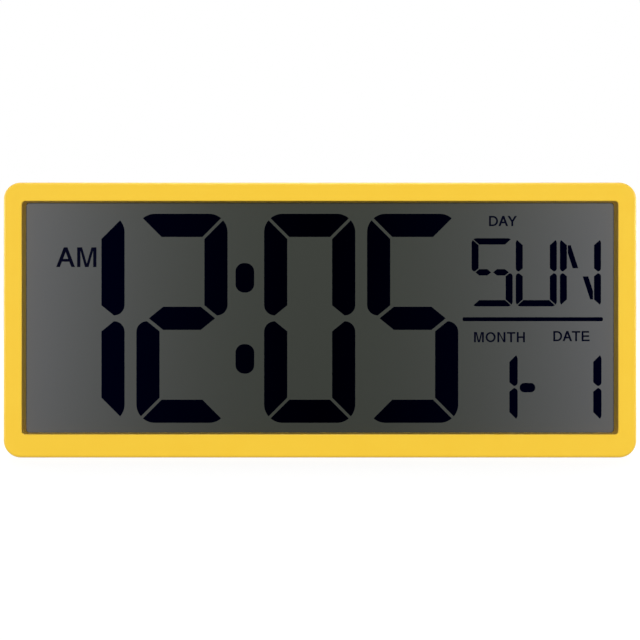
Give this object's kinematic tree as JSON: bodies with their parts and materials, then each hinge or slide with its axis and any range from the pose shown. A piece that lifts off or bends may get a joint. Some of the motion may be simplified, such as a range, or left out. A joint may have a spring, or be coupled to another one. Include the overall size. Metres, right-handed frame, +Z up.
{
  "type": "digital wall clock",
  "caption": "Wide digital wall clock: flat yellow frame case round a recessed grey liquid crystal display, with a battery door, push buttons, keyholes and a fold-out leg behind",
  "frame": {"origin": "middle of the back face, in the plane of the wall", "axes": "+X to the right as seen from the front, +Y from the front towards the wall, +Z up"},
  "size_m": [0.368, 0.03, 0.16],
  "materials": {
    "bezel_plastic": "satin moulded plastic, yellow",
    "cover_plastic": "fine-textured moulded plastic, black",
    "retainer_plastic": "moulded plastic, dark",
    "button_plastic": "satin moulded plastic, grey",
    "display_film": "satin polariser film, grey",
    "display_segment": "dark liquid crystal, near black",
    "display_glass": "clear float glass",
    "liquid_crystal": "liquid layer",
    "edge_seal": "cured resin",
    "reflector_film": "brushed silver film",
    "gasket_foam": "closed-cell foam",
    "contact_elastomer": "layered silicone rubber",
    "circuit_board": "solder mask, green",
    "chip_resin": "cured black resin",
    "switch_plastic": "moulded plastic, black",
    "capacitor_sleeve": "shrunk plastic sleeve",
    "screw_steel": "zinc-plated steel",
    "contact_steel": "nickel-plated spring steel",
    "pin_steel": "drawn steel wire",
    "cell_jacket": "printed metal jacket, plain",
    "red_insulation": "soft vinyl",
    "black_insulation": "soft vinyl"
  },
  "bodies": {
    "case": {"front_bezel": "bezel_plastic", "rear_cover": "cover_plastic", "lcd_retainer": "retainer_plastic", "lcd_front_polariser": "display_film", "lcd_front_glass": "display_glass", "lcd_rear_glass": "display_glass", "lcd_crystal_layer": "liquid_crystal", "lcd_edge_seal": "edge_seal", "lcd_reflector": "reflector_film", "lcd_gasket": "gasket_foam", "zebra_strip": "contact_elastomer", "main_board": "circuit_board", "chip_blob": "chip_resin", "quartz_crystal": "contact_steel", "capacitor": "capacitor_sleeve", "switch_bodies": "switch_plastic", "retainer_screws": "screw_steel", "board_screws": "screw_steel", "casing_screws": "screw_steel", "upper_cell": "cell_jacket", "lower_cell": "cell_jacket", "plus_contact": "contact_steel", "minus_contact": "contact_steel", "bridge_contact": "contact_steel", "red_lead": "red_insulation", "black_lead": "black_insulation", "stand_pin": "pin_steel", "hour_segments": "display_segment", "colon_segments": "display_segment", "minute_segments": "display_segment", "weekday_segments": "display_segment", "divider_segment": "display_segment", "date_segments": "display_segment"},
    "battery_door": {"battery_door": "cover_plastic"},
    "stand": {"stand_leg": "cover_plastic"},
    "mode_button": {"mode_button": "button_plastic", "mode_plunger": "switch_plastic"},
    "plus_button": {"plus_button": "button_plastic", "plus_plunger": "switch_plastic"},
    "minus_button": {"minus_button": "button_plastic", "minus_plunger": "switch_plastic"},
    "format_button": {"format_button": "button_plastic", "format_plunger": "switch_plastic"}
  },
  "joints": [
    {"name": "battery_door_hinge", "type": "hinge", "parent": "case", "child": "battery_door", "pos_m": [-0.086, -0.0015, -0.0126], "axis": [-1, 0, 0], "range_deg": [0, 85]},
    {"name": "stand_hinge", "type": "hinge", "parent": "case", "child": "stand", "pos_m": [0, -0.003, -0.0085], "axis": [1, 0, 0], "range_deg": [0, 30]},
    {"name": "mode_press", "type": "slide", "parent": "case", "child": "mode_button", "axis": [0, -1, 0], "range_m": [0, 0.0005], "stiffness_N_per_m": 2000},
    {"name": "plus_press", "type": "slide", "parent": "case", "child": "plus_button", "axis": [0, -1, 0], "range_m": [0, 0.0005], "stiffness_N_per_m": 2000},
    {"name": "minus_press", "type": "slide", "parent": "case", "child": "minus_button", "axis": [0, -1, 0], "range_m": [0, 0.0005], "stiffness_N_per_m": 2000},
    {"name": "format_press", "type": "slide", "parent": "case", "child": "format_button", "axis": [0, -1, 0], "range_m": [0, 0.0005], "stiffness_N_per_m": 2000}
  ]
}
